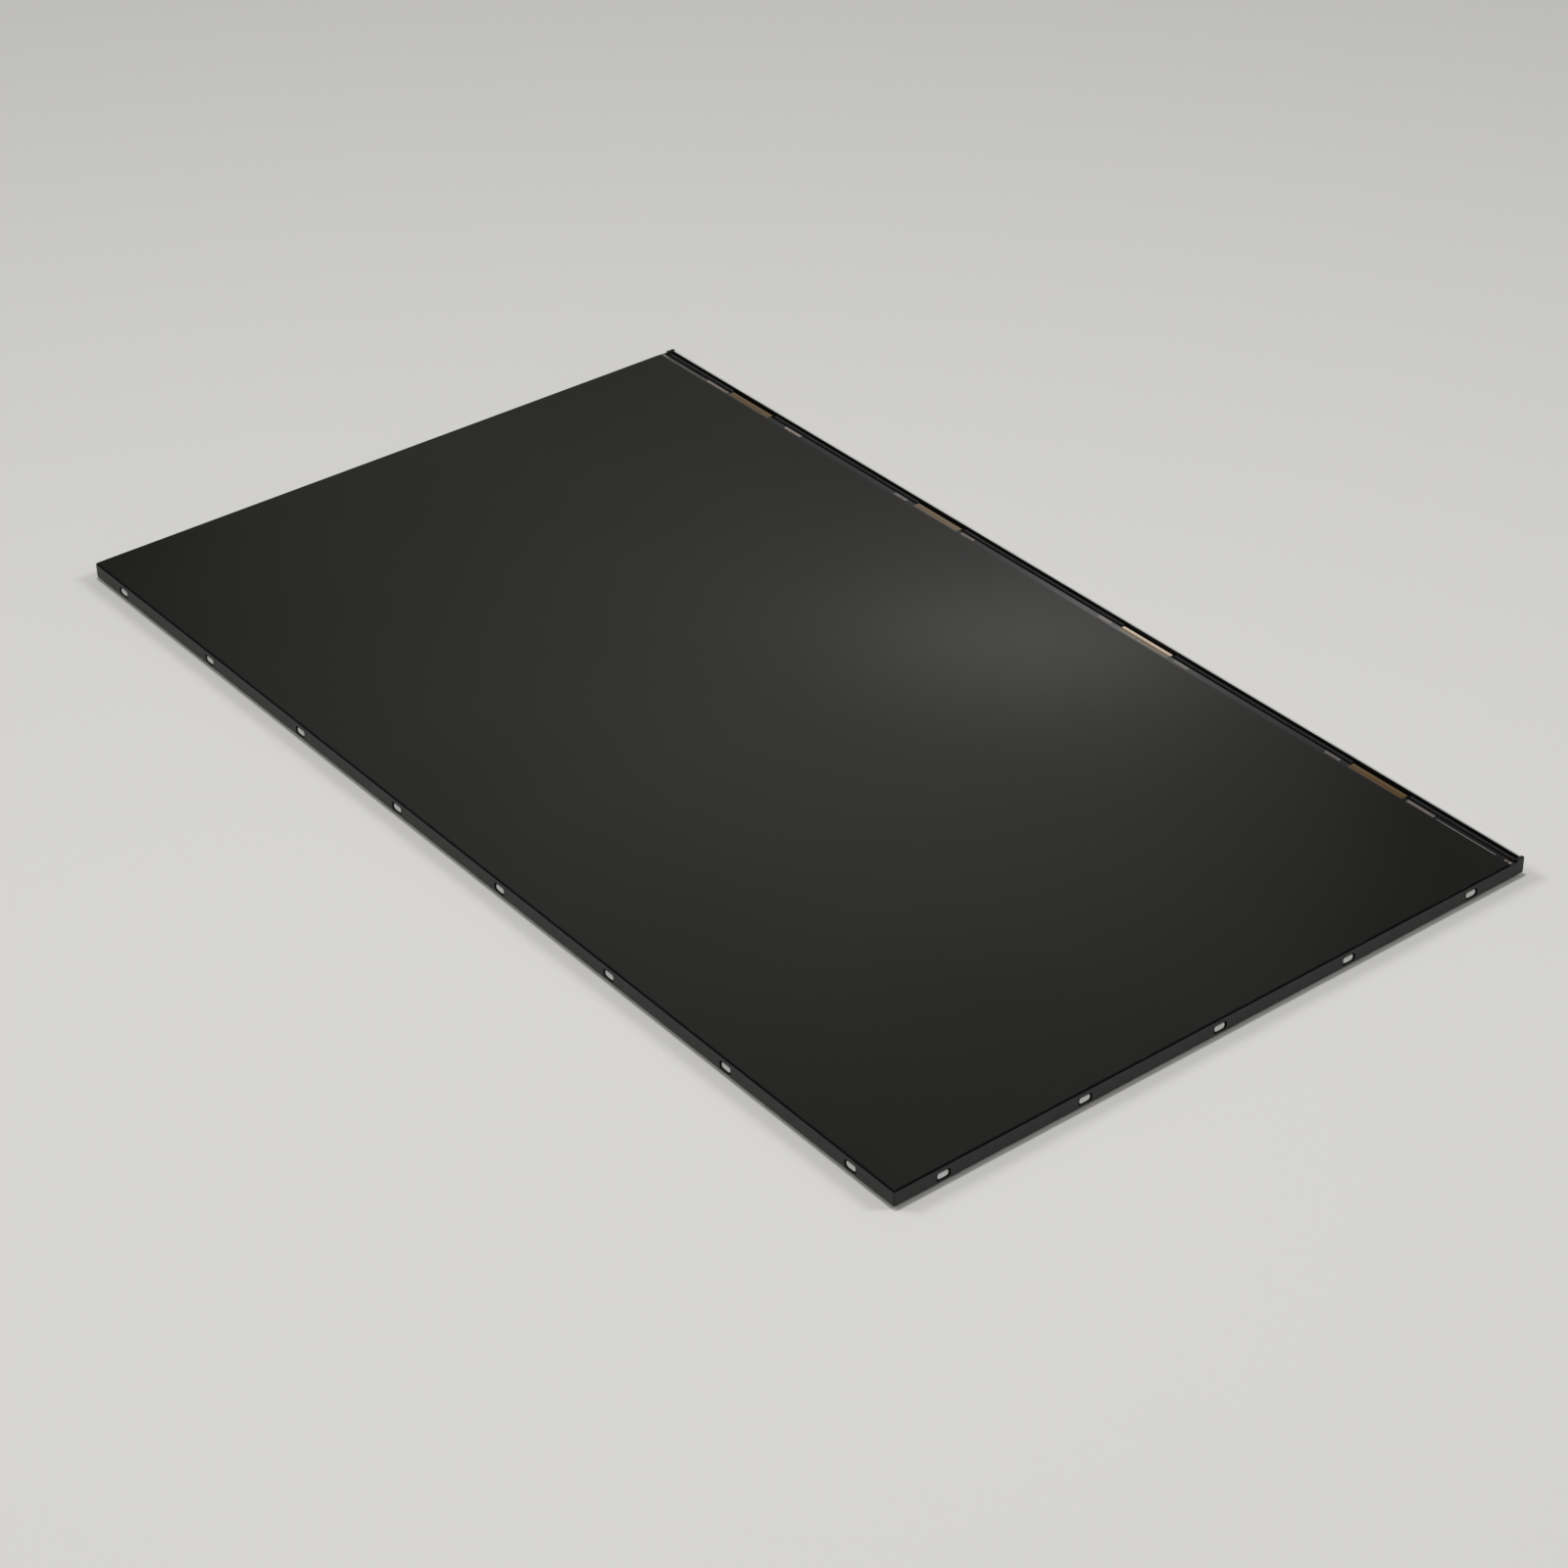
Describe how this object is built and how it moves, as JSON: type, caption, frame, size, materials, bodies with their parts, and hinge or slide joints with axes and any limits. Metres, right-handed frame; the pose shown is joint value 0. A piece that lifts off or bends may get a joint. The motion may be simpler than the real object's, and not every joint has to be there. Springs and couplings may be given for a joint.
{
  "type": "display panel assembly",
  "caption": "Flat edge-lit liquid-crystal display module with a slotted black frame, steel back and folded driver films along a long edge; shows the picture inside a monitor housing.",
  "frame": {"origin": "centre of the outline, on the plane that the module rests on when it lies on its back", "axes": "+X along the long side, +Y to the driver edge with the folded films, +Z out of the screen"},
  "size_m": [0.5324, 0.308, 0.0081],
  "materials": {
    "black_moulding": "fine-grained black moulded polycarbonate",
    "galvanised_steel": "zinc-coated steel sheet, dull silver",
    "bright_sheet": "bright tin-plated steel sheet",
    "screen_film": "anti-glare film, matt black when unlit",
    "polariser_film": "dark polarising film",
    "cell_glass": "thin glass with a dark pixel array",
    "white_sheet": "white polyester sheet",
    "clear_acrylic": "clear acrylic sheet",
    "light_strip": "white solder mask on aluminium",
    "light_package": "white package with a yellow phosphor",
    "polyimide": "golden-brown flexible circuit film",
    "adhesive": "black double-sided tape",
    "chip_black": "moulded epoxy package",
    "circuit_board": "green solder mask on glass fibre",
    "capacitor_ceramic": "ceramic body with tinned ends",
    "socket_moulding": "ivory moulded socket",
    "contact_metal": "gold-flashed contacts",
    "insulating_film": "black polyester film",
    "screw_steel": "nickel-plated steel"
  },
  "bodies": {
    "root": {"guide_panel": "black_moulding", "bottom_cover": "galvanised_steel", "board_cover": "bright_sheet", "front_polariser": "screen_film", "rear_polariser": "polariser_film", "tft_glass": "cell_glass", "colour_filter_glass": "cell_glass", "reflector_sheet": "white_sheet", "lower_diffuser": "white_sheet", "upper_diffuser": "white_sheet", "light_guide_plate": "clear_acrylic", "prism_sheet": "clear_acrylic", "led_board": "light_strip", "leds": "light_package", "led_flex_tail": "polyimide", "source_film_1": "polyimide", "source_film_2": "polyimide", "source_film_3": "polyimide", "source_film_4": "polyimide", "panel_tape": "adhesive", "thermal_tape": "adhesive", "board_tape": "adhesive", "driver_chip_1": "chip_black", "driver_chip_2": "chip_black", "driver_chip_3": "chip_black", "driver_chip_4": "chip_black", "timing_controller": "chip_black", "power_chip": "chip_black", "power_coils": "chip_black", "source_board": "circuit_board", "board_capacitors": "capacitor_ceramic", "signal_connector": "socket_moulding", "backlight_connector": "socket_moulding", "signal_contacts": "contact_metal", "backlight_contacts": "contact_metal", "insulating_sheet": "insulating_film", "cover_screws": "screw_steel"}
  },
  "joints": []
}
